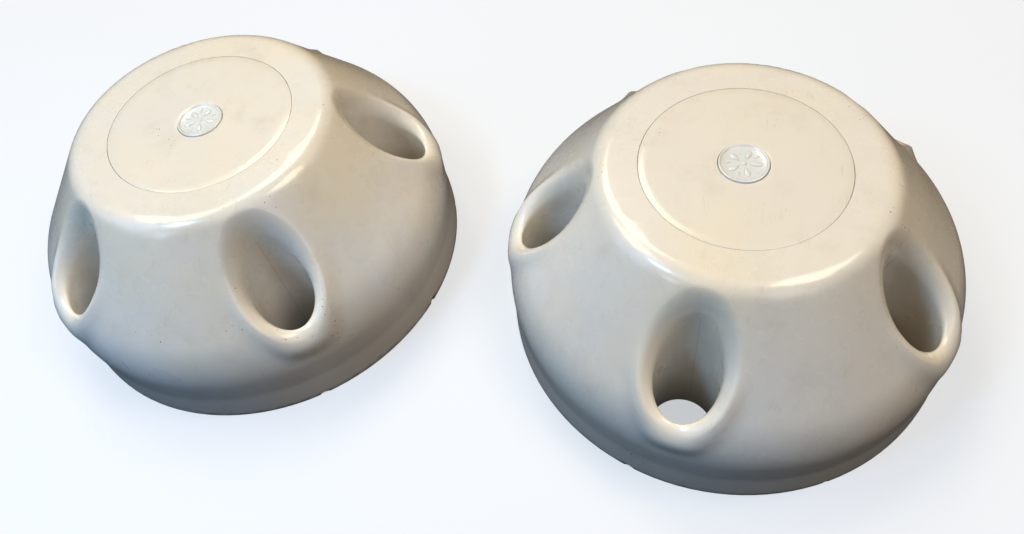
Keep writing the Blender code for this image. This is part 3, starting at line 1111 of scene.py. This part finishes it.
class NodeGroup:
    """A shader node group with named inputs and outputs, which is built once."""

    def __init__(self, name: str, inputs: dict[str, str], outputs: dict[str, str]) -> None:
        """Makes the group and its sockets.

        Args:
            name: The group's name.
            inputs: Each input's name and socket kind.
            outputs: Each output's name and socket kind.
        """
        self.tree = bpy.data.node_groups.new(name, "ShaderNodeTree")
        for way, sockets in (("INPUT", inputs), ("OUTPUT", outputs)):
            for socket, kind in sockets.items():
                self.tree.interface.new_socket(socket, in_out=way, socket_type=kind)
        self.wiring = Wiring(self.tree)
        self.given = self.tree.nodes.new("NodeGroupInput").outputs
        self.result = self.tree.nodes.new("NodeGroupOutput").inputs

    def give(self, name: str, source: bpy.types.NodeSocket) -> None:
        """Sends a value to one of the group's outputs."""
        self.wiring.feed(self.result[name], source)

    def place_in(self, wiring: Wiring, **values: Any) -> bpy.types.NodeOutputs:
        """Puts the group in a material.

        Args:
            wiring: The material's wiring.
            values: Each input's value or source, by the input's name.

        Returns:
            The placed group's outputs.
        """
        node = wiring.add("ShaderNodeGroup", node_tree=self.tree)
        wiring.fill(node, values)
        return node.outputs


VECTOR, FLOAT, COLOUR = "NodeSocketVector", "NodeSocketFloat", "NodeSocketColor"


def ageing_group() -> NodeGroup:
    """Old plastic's uneven tint: a broad drift from fresh to yellowed, with faint stains."""
    group = NodeGroup(
        "aged_tint",
        {
            "Place": VECTOR,
            "Fresh": COLOUR,
            "Yellowed": COLOUR,
            "Stain": COLOUR,
            "Yellowing": FLOAT,
            "Staining": FLOAT,
        },
        {"Colour": COLOUR},
    )
    w, given = group.wiring, group.given
    broad = w.ramp(w.noise(given["Place"], 11.0, 3.0), 0.36, 0.66)
    drift = w.sums("MULTIPLY", w.sums("SUBTRACT", broad, 0.5), 0.55)
    tone = w.sums("ADD", given["Yellowing"], drift, clamp=True)
    base = w.mix(tone, given["Fresh"], given["Yellowed"])
    patches = w.ramp(w.noise(given["Place"], 34.0, 5.0, 0.62), 0.50, 0.72)
    clouds = w.ramp(w.noise(given["Place"], 90.0, 4.0, 0.6), 0.42, 0.78)
    stains = w.sums("MULTIPLY", patches, w.sums("MULTIPLY_ADD", clouds, 0.6, 0.4), clamp=True)
    share = w.sums("MULTIPLY", stains, given["Staining"], clamp=True)
    group.give("Colour", w.mix(share, base, given["Stain"]))
    return group


def speck_group() -> NodeGroup:
    """Small dark specks that gather in loose clusters."""
    group = NodeGroup(
        "speck_clusters",
        {"Place": VECTOR, "Density": FLOAT, "Largest": FLOAT, "Clustering": FLOAT},
        {"Mask": FLOAT},
    )
    w, given = group.wiring, group.given
    wobble = w.add("ShaderNodeTexNoise")
    w.feed(wobble.inputs["Vector"], given["Place"])
    wobble.inputs["Scale"].default_value = 900.0
    nudge = w.add("ShaderNodeVectorMath", operation="SCALE")
    w.feed(nudge.inputs[0], wobble.outputs["Color"])
    nudge.inputs["Scale"].default_value = 0.0011
    rough_place = w.add("ShaderNodeVectorMath", operation="ADD")
    w.feed(rough_place.inputs[0], given["Place"])
    w.feed(rough_place.inputs[1], nudge.outputs[0])
    cells = w.add("ShaderNodeTexVoronoi", feature="F1")
    w.feed(cells.inputs["Vector"], rough_place.outputs[0])
    w.feed(cells.inputs["Scale"], given["Density"])
    pick = w.add("ShaderNodeSeparateColor")
    w.feed(pick.inputs[0], cells.outputs["Color"])
    chance = w.sums("POWER", pick.outputs[0], 3.0)
    cluster = w.ramp(w.noise(given["Place"], 17.0, 2.0), given["Clustering"], 0.74)
    size = w.sums("MULTIPLY", w.sums("MULTIPLY", chance, given["Largest"]), cluster)
    edge = w.sums("SUBTRACT", size, cells.outputs["Distance"])
    group.give("Mask", w.ramp(edge, 0.0, 0.03))
    return group


def scuff_group() -> NodeGroup:
    """Fine scratches in three directions, with worn patches."""
    group = NodeGroup(
        "scuff_marks",
        {"Place": VECTOR, "Amount": FLOAT},
        {"Mask": FLOAT, "Wear": FLOAT},
    )
    w, given = group.wiring, group.given
    worn = w.ramp(w.noise(given["Place"], 23.0, 3.0), 0.50, 0.70)
    lines = None
    ways = ((0.5, (430.0, 14.0, 40.0)), (-0.9, (360.0, 22.0, 60.0)), (1.7, (520.0, 30.0, 26.0)))
    for turn, stretch in ways:
        along = w.moved(given["Place"], (0.2, 0.1, turn), stretch)
        cloud = w.noise(along, 1.0, 1.0)
        off = w.sums("ABSOLUTE", w.sums("SUBTRACT", cloud, 0.5))
        line = w.sums("SUBTRACT", 1.0, w.ramp(off, 0.001, 0.006))
        lines = line if lines is None else w.sums("MAXIMUM", lines, line)
    few = w.ramp(w.noise(given["Place"], 61.0, 2.0), 0.55, 0.68)
    mask = w.sums("MULTIPLY", w.sums("MULTIPLY", lines, few), given["Amount"], clamp=True)
    group.give("Mask", mask)
    group.give("Wear", worn)
    return group


def grime_and_shade_group() -> NodeGroup:
    """Painted shade and road soiling, darkest at the rim, fading upwards; soiling at its foot."""
    group = NodeGroup(
        "rim_grime_and_shade",
        {"Place": VECTOR, "Low": FLOAT, "High": FLOAT},
        {"Mask": FLOAT, "Edge": FLOAT},
    )
    w, given = group.wiring, group.given
    height = w.height(given["Place"])
    uneven = w.sums("SUBTRACT", w.noise(given["Place"], 26.0, 4.0, 0.6), 0.5)
    level = w.sums("MULTIPLY_ADD", uneven, 0.035, height)
    group.give("Mask", w.sums("SUBTRACT", 1.0, w.ramp(level, given["Low"], given["High"])))
    ragged = w.sums("SUBTRACT", w.noise(given["Place"], 120.0, 3.0, 0.7), 0.5)
    low_edge = w.sums("MULTIPLY_ADD", ragged, 0.012, height)
    group.give("Edge", w.sums("SUBTRACT", 1.0, w.ramp(low_edge, 0.0005, 0.0035)))
    return group


@dataclass
class Effects:
    """The node groups that the finishes share."""

    ageing: NodeGroup = field(default_factory=ageing_group)
    specks: NodeGroup = field(default_factory=speck_group)
    scuffs: NodeGroup = field(default_factory=scuff_group)
    grime_and_shade: NodeGroup = field(default_factory=grime_and_shade_group)


@dataclass(frozen=True)
class AgedPlastic:
    """A glossy moulded plastic that has yellowed, with stains, specks and scuffs."""

    name: str
    fresh: Colour
    yellowed: Colour
    stain: Colour = (0.40, 0.31, 0.20)
    soot: Colour = (0.035, 0.030, 0.026)
    grime_and_shade: Colour = (0.34, 0.27, 0.20)
    edge_grime: Colour = (0.13, 0.10, 0.075)
    collar_light_colour: Colour = (0.95, 0.87, 0.71)
    yellowing: float = 0.45
    staining: float = 0.22
    roughness: float = 0.27
    coat: float = 0.55
    coat_roughness: float = 0.09
    softness: float = 0.06
    soft_depth: float = 0.004
    speck_density: float = 520.0
    speck_size: float = 0.32
    clustering: float = 0.57
    mouth_gathering: float = 0.30
    scuffing: float = 0.6
    grime_and_shade_low: float = 0.004
    grime_and_shade_high: float = 0.060
    grime_and_shade_share: float = 0.40
    pocket_dust_and_shade_share: float = 0.20
    line_share: float = 0.5
    collar_light_share: float = 0.75

    def material(self, effects: Effects) -> bpy.types.Material:
        """The finish as a material.

        Args:
            effects: The shared node groups.

        Returns:
            The new material.
        """
        made, w, shader = start_material(self.name)
        place = w.add("ShaderNodeTexCoord").outputs["Object"]
        scuffs = effects.scuffs.place_in(w, Place=place, Amount=self.scuffing)
        grime_and_shade = effects.grime_and_shade.place_in(w, Place=place, Low=self.grime_and_shade_low, High=self.grime_and_shade_high)
        gather = w.sums(
            "MULTIPLY_ADD", w.attribute("mouth_wear"), -self.mouth_gathering, self.clustering
        )
        specks = effects.specks.place_in(
            w, Place=place, Density=self.speck_density, Largest=self.speck_size, Clustering=gather
        )["Mask"]
        # Patchy dust in the pockets, with painted shade that darkens each pocket the deeper it
        # goes.
        pocket_dust_and_shade = w.ramp(w.noise(place, 30.0, 4.0, 0.6), 0.36, 0.72)
        pocket_dust_and_shade = w.sums("MULTIPLY", pocket_dust_and_shade, w.attribute("pocket_depth"))
        # Darker and browner towards the rim: mostly painted shade of the lower band, some road
        # soiling.
        low = w.sums("MULTIPLY", grime_and_shade["Mask"], self.grime_and_shade_share)
        dirt_and_shade = w.sums("MAXIMUM", low, w.sums("MULTIPLY", pocket_dust_and_shade, self.pocket_dust_and_shade_share), clamp=True)
        parting = w.ramp(w.attribute("mould_line"), 0.70, 1.0)
        marks = w.sums("MULTIPLY", w.sums("MAXIMUM", parting, scuffs["Mask"]), self.line_share)
        colour = effects.ageing.place_in(
            w,
            Place=place,
            Fresh=self.fresh,
            Yellowed=self.yellowed,
            Stain=self.stain,
            Yellowing=self._yellowing(w, place),
            Staining=self.staining,
        )["Colour"]
        layers = (
            # The collar below each mouth is painted lighter and warmer: a painted pool of light
            # from above.
            (w.attribute("painted_lit_collar"), self.collar_light_share, self.collar_light_colour),
            (dirt_and_shade, 1.0, self.grime_and_shade),
            (marks, 1.0, self.stain),
            (grime_and_shade["Edge"], 0.45, self.edge_grime),
            (specks, 0.85, self.soot),
        )
        for mask, share, tint in layers:
            colour = w.mix(w.sums("MULTIPLY", mask, share), colour, tint)
        cloudy = w.noise(place, 70.0, 4.0)
        gloss = w.sums("MULTIPLY_ADD", cloudy, 0.10, self.roughness - 0.05)
        for mask, dulling in ((scuffs["Wear"], 0.08), (dirt_and_shade, 0.35), (specks, 0.3)):
            gloss = w.sums("MULTIPLY_ADD", mask, dulling, gloss, clamp=True)
        pebbled = w.sums("MULTIPLY", w.noise(place, 420.0, 2.0), 0.02)
        relief = w.sums("ADD", w.noise(place, 21.0, 2.0), pebbled)
        relief = w.sums("MULTIPLY_ADD", scuffs["Mask"], -0.05, relief)
        w.fill(
            shader,
            {
                "Base Color": colour,
                "Roughness": gloss,
                "Coat Weight": self.coat,
                "Coat Roughness": self.coat_roughness,
                "Subsurface Weight": self.softness,
                "Subsurface Scale": self.soft_depth,
                "Normal": w.bump(relief, 0.5, 0.0012),
            },
        )
        return made

    def _yellowing(self, w: Wiring, place: bpy.types.NodeSocket) -> bpy.types.NodeSocket:
        """How yellowed the plastic is: most on the level top, which the sun reaches."""
        upper = w.ramp(w.height(place), 0.055, 0.138)
        return w.sums("MULTIPLY_ADD", upper, 0.55, self.yellowing - 0.30, clamp=True)


@dataclass(frozen=True)
class BareSteel:
    """A rolled or plated steel, with fine lines, stains and specks of rust."""

    name: str
    bright: Colour
    dull: Colour
    rust: Colour = (0.17, 0.075, 0.035)
    soot: Colour = (0.05, 0.04, 0.035)
    roughness: float = 0.34
    rusting: float = 0.25

    def material(self, effects: Effects) -> bpy.types.Material:
        """The finish as a material, with the shared node groups at hand."""
        made, w, shader = start_material(self.name)
        place = w.add("ShaderNodeTexCoord").outputs["Object"]
        lines = w.noise(w.moved(place, (0.0, 0.0, 0.3), (900.0, 900.0, 60.0)), 1.0, 3.0)
        stained = w.ramp(w.noise(place, 160.0, 4.0, 0.65), 0.42, 0.66)
        rusty = w.ramp(w.noise(place, 240.0, 6.0, 0.7), 0.56, 0.64)
        rust = w.sums("MULTIPLY", rusty, self.rusting)
        specks = effects.specks.place_in(
            w, Place=place, Density=900.0, Largest=0.35, Clustering=0.40
        )["Mask"]
        colour = w.mix(rust, w.mix(stained, self.bright, self.dull), self.rust)
        gloss = w.sums("MULTIPLY_ADD", lines, 0.16, self.roughness - 0.08)
        w.fill(
            shader,
            {
                "Base Color": w.mix(w.sums("MULTIPLY", specks, 0.6), colour, self.soot),
                "Metallic": w.sums("SUBTRACT", 1.0, rust, clamp=True),
                "Roughness": w.sums("MULTIPLY_ADD", rust, 0.5, gloss, clamp=True),
                "Normal": w.bump(w.sums("ADD", lines, rusty), 0.35, 0.0002),
            },
        )
        return made


@dataclass
class Finishes:
    """Every finish of the set, as materials by slot."""

    effects: Effects = field(default_factory=Effects)

    def __post_init__(self) -> None:
        """Makes each material once."""
        plans = {
            Slot.SHELL: AgedPlastic(
                "aged_cream_shell", fresh=(0.75, 0.73, 0.69), yellowed=(0.79, 0.71, 0.56)
            ),
            Slot.DISC: AgedPlastic(
                "aged_cream_disc",
                fresh=(0.74, 0.71, 0.65),
                yellowed=(0.78, 0.70, 0.56),
                staining=0.24,
                roughness=0.31,
            ),
            Slot.MEDALLION: AgedPlastic(
                "cool_white_badge",
                fresh=(0.70, 0.71, 0.70),
                yellowed=(0.76, 0.74, 0.66),
                yellowing=0.25,
                staining=0.30,
                speck_size=0.12,
            ),
            Slot.SPRING: BareSteel(
                "spring_steel_strip", bright=(0.40, 0.41, 0.43), dull=(0.20, 0.20, 0.21)
            ),
            Slot.SCREW: BareSteel(
                "zinc_plated_screw",
                bright=(0.70, 0.69, 0.64),
                dull=(0.48, 0.46, 0.40),
                roughness=0.30,
                rusting=0.35,
            ),
        }
        self.made = {slot: plan.material(self.effects) for slot, plan in plans.items()}

    def dress(self, piece: bpy.types.Object, slot: Slot) -> None:
        """Gives a piece the material of its slot."""
        piece.data.materials.clear()
        piece.data.materials.append(self.made[slot])


# ---------------------------------------------------------------- a whole cover


@dataclass
class WheelCover:
    """One cover of the pair, with all its pieces."""

    side: Side
    nicks: RimNicks
    moulding: ShellMoulding = field(default_factory=ShellMoulding)
    disc: CentreDisc = field(default_factory=CentreDisc)
    medallion: Medallion = field(default_factory=Medallion)
    clip: SpringClip = field(default_factory=SpringClip)
    screw: PanScrew = field(default_factory=PanScrew)

    def __post_init__(self) -> None:
        """Reads the cover's place from the frame."""
        self.place = Place.of(self.side)
        self.name = self.side.value

    def _finish(
        self, piece: bpy.types.Object, body: str, slot: Slot, finishes: Finishes, *nodes: str
    ) -> None:
        """Dresses a piece, sets it on its body and lets it stand for CAD nodes.

        Args:
            piece: The finished piece.
            body: The body that it moves with.
            slot: Its material slot.
            finishes: All the materials.
            nodes: The CAD nodes that it stands for.
        """
        finishes.dress(piece, slot)
        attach(piece, body)
        if nodes:
            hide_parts(*nodes)
        LOG.info("%s: %d faces, on %s", piece.name, len(piece.data.polygons), body)

    def _shell(self, finishes: Finishes) -> None:
        """The dome and the structure inside it."""
        shape = self.moulding.surface()
        piece = make_piece(f"{self.name}_moulded_shell", shape, self.place.matrix())
        self._mark_pockets(piece)
        add_wall(piece, self.moulding.wall)
        add_edge_round(piece, self.moulding.edge_round)
        self.nicks.cut(piece, self.place)
        self._finish(piece, f"{self.name}_cover", Slot.SHELL, finishes, f"{self.name}_shell")
        inner = InnerStructure(self.moulding).build(f"{self.name}_ribs_and_bosses", self.place)
        self._finish(inner, f"{self.name}_cover", Slot.SHELL, finishes)

    def _mark_pockets(self, piece: bpy.types.Object) -> None:
        """Stores what the finish reads, for each point of the shell.

        The values say how far the point is down a pocket, whether it's on the line where the
        mould's halves met, how worn it is above a mouth, and where the collar below it is
        painted lighter, a painted light.
        """
        kinds = ("pocket_depth", "mould_line", "mouth_wear", "painted_lit_collar")
        for kind in kinds:
            piece.data.attributes.new(kind, "FLOAT", "POINT")
        stored = [piece.data.attributes[kind].data for kind in kinds]
        back = self.place.matrix().inverted()
        line, pocket = self.moulding.line, self.moulding.pocket
        for point, depth, parting, wear, lit_collar in zip(piece.data.vertices, *stored):
            local = back @ point.co
            radius = local.xy.length
            inside = pocket.inner - 0.02 < radius < pocket.outer + 0.004
            surface = line.at(line.travel_at_radius(radius))[1]
            depth.value = smoothstep((surface - local.z - 0.006) / 0.03) if inside else 0.0
            azimuth = math.atan2(local.y, local.x)
            azimuth -= round(azimuth / PITCH) * PITCH
            outwards, beyond = pocket.about(radius, azimuth)
            above = bell(beyond - pocket.side_rounding - 0.002, 0.006)
            wear.value = smoothstep(0.4 - outwards) * above
            # The collar below each mouth, which the finish paints lighter as a painted light.
            collar = smoothstep((outwards + 0.2) / 0.9) * bell(beyond - 0.003, 0.0055)
            lit_collar.value = collar if depth.value < 0.5 else 0.0
            middle = abs(radius * math.sin(azimuth)) < 0.0002
            parting.value = float(middle and depth.value > 0.40 and radius < pocket.centre)

    def _clips(self, finishes: Finishes) -> None:
        """The five clips and their screws."""
        for index in range(SECTORS):
            label = f"{self.name}_clip_{index + 1}"
            turn = (index + 0.5) * PITCH
            foot = self.clip.build_foot(f"{label}_spring_foot", self.place, turn)
            self._finish(foot, f"{self.name}_cover", Slot.SPRING, finishes, f"{label}_foot")
            leg = self.clip.build_leg(f"{label}_spring_leg", self.place, turn)
            self._finish(leg, f"{label}_spring", Slot.SPRING, finishes, f"{label}_leg")
            screw = self.screw.build(f"{label}_pan_screw", self.place, turn)
            self._finish(screw, f"{self.name}_cover", Slot.SCREW, finishes, f"{label}_screw")

    def build(self, finishes: Finishes) -> None:
        """Builds and dresses every piece of the cover."""
        self._shell(finishes)
        disc = self.disc.build(f"{self.name}_smooth_disc", self.place)
        self._finish(disc, f"{self.name}_disc", Slot.DISC, finishes, f"{self.name}_centre_disc")
        badge = self.medallion.build(f"{self.name}_rosette_badge", self.place)
        self._finish(badge, f"{self.name}_disc", Slot.MEDALLION, finishes, f"{self.name}_medallion")
        self._clips(finishes)


# ---------------------------------------------------------------- floor, lights and camera


@dataclass(frozen=True)
class SoftLight:
    """A soft rectangular lamp, aimed at the set from a bearing and a height."""

    name: str
    bearing: float
    elevation: float
    distance: float
    width: float
    height: float
    power: float
    colour: Colour

    def add(self, aim: Vector) -> None:
        """Puts the lamp in the scene, turned towards a point."""
        lamp = bpy.data.lights.new(self.name, "AREA")
        lamp.shape = "RECTANGLE"
        lamp.size, lamp.size_y = self.width, self.height
        lamp.energy = self.power
        lamp.color = self.colour
        held = bpy.data.objects.new(self.name, lamp)
        around, up = math.radians(self.bearing), math.radians(self.elevation)
        level = math.cos(up)
        out = Vector((level * math.cos(around), level * math.sin(around), math.sin(up)))
        held.location = aim + out * self.distance
        held.rotation_euler = out.to_track_quat("Z", "Y").to_euler()
        bpy.context.scene.collection.objects.link(held)


@dataclass(frozen=True)
class Studio:
    """A plain pale floor, soft lights and the camera."""

    floor_size: float = 14.0
    floor_colour: Colour = (0.34, 0.35, 0.37)
    floor_tint: Colour = (0.92, 0.96, 1.0)
    floor_glow: float = 0.58
    sky_colour: Colour = (0.90, 0.94, 1.0)
    sky_strength: float = 0.035
    backdrop_strength: float = 0.90
    aim: tuple[float, float, float] = (0.0, 0.0, 0.07)
    camera_place: tuple[float, float, float] = (0.1468, -0.3221, 0.5116)
    camera_bearing: float = 18.386
    camera_dip: float = 53.83
    camera_roll: float = -9.318
    lens: float = 28.38
    shift: tuple[float, float] = (-0.0178, -0.0334)
    lights: tuple[SoftLight, ...] = (
        SoftLight("warm_ceiling", 0.0, 60.0, 2.0, 0.8, 0.8, 17.8, (1.0, 0.83, 0.63)),
        SoftLight("cool_skylight", -134.0, 54.0, 1.2, 0.24, 0.24, 5.5, (0.30, 0.60, 1.0)),
        SoftLight("warm_lamp", 120.0, 60.0, 2.0, 0.8, 0.8, 17.0, (1.0, 0.84, 0.60)),
        SoftLight("pale_wall", 180.0, 60.0, 2.0, 0.8, 0.8, 11.5, (1.0, 0.92, 0.74)),
        SoftLight("window", -150.0, 33.0, 1.0, 0.45, 0.45, 1.35, (0.22, 0.50, 1.0)),
        SoftLight("front_wall", -48.0, 38.0, 2.0, 0.8, 0.8, 3.0, (0.92, 0.92, 1.0)),
        SoftLight("far_window", -122.0, 28.0, 2.0, 0.3, 0.4, 1.6, (0.62, 0.80, 1.0)),
    )

    def _floor(self) -> None:
        """A large plain floor at the ground, which is see-through from below."""
        shape = bmesh.new()
        bmesh.ops.create_grid(shape, x_segments=1, y_segments=1, size=self.floor_size / 2.0)
        floor = make_piece("floor", shape, Matrix.Identity(4))
        paint, w, shader = start_material("pale_floor")
        below = w.add("ShaderNodeNewGeometry").outputs["Backfacing"]
        w.fill(
            shader,
            {
                "Base Color": self.floor_colour,
                "Roughness": 0.9,
                "Emission Color": self.floor_tint,
                "Emission Strength": self.floor_glow,
                "Alpha": w.sums("SUBTRACT", 1.0, below),
            },
        )
        floor.data.materials.append(paint)
        floor.visible_diffuse = False
        floor.visible_glossy = False

    def _sky(self) -> None:
        """A faint even light from all round, behind a pale backdrop."""
        world = bpy.data.worlds.new("soft_sky")
        world.use_nodes = True
        w = Wiring(world.node_tree)
        seen = w.add("ShaderNodeLightPath").outputs["Is Camera Ray"]
        brighter = self.backdrop_strength - self.sky_strength
        strength = w.sums("MULTIPLY_ADD", seen, brighter, self.sky_strength)
        sky = world.node_tree.nodes["Background"]
        w.fill(sky, {"Color": self.sky_colour, "Strength": strength})
        bpy.context.scene.world = world
        bpy.context.scene.view_settings.view_transform = "Standard"

    def _camera(self) -> None:
        """The camera, above the front of the right cover, looking down at the pair."""
        lens = bpy.data.cameras.new("camera")
        lens.lens = self.lens
        lens.sensor_width = 36.0
        lens.shift_x, lens.shift_y = self.shift
        lens.clip_start = 0.01
        camera = bpy.data.objects.new("camera", lens)
        turn = Matrix.Rotation(math.radians(self.camera_bearing), 4, "Z")
        dip = Matrix.Rotation(math.radians(90.0 - self.camera_dip), 4, "X")
        roll = Matrix.Rotation(math.radians(self.camera_roll), 4, "Z")
        camera.matrix_world = Matrix.Translation(self.camera_place) @ turn @ dip @ roll
        bpy.context.scene.collection.objects.link(camera)
        bpy.context.scene.camera = camera

    def build(self) -> None:
        """Sets up the floor, the lights and the camera."""
        self._floor()
        self._sky()
        for light in self.lights:
            light.add(Vector(self.aim))
        self._camera()
        LOG.info("studio: floor, %d lights and the camera", len(self.lights))


def main() -> None:
    """Builds both covers and the studio."""
    logging.basicConfig(level=logging.INFO, format="%(name)s: %(message)s")
    finishes = Finishes()
    chips = {
        Side.LEFT: ((-54.0, 0.008, 0.0022), (-14.7, 0.005, 0.0030), (20.8, 0.006, 0.0025)),
        Side.RIGHT: ((-109.5, 0.007, 0.0025), (-62.0, 0.004, 0.0015)),
    }
    for side in Side:
        nicks = RimNicks([RimNick(*chip) for chip in chips[side]])
        WheelCover(side, nicks).build(finishes)
    Studio().build()


if __name__ == "__main__":
    main()
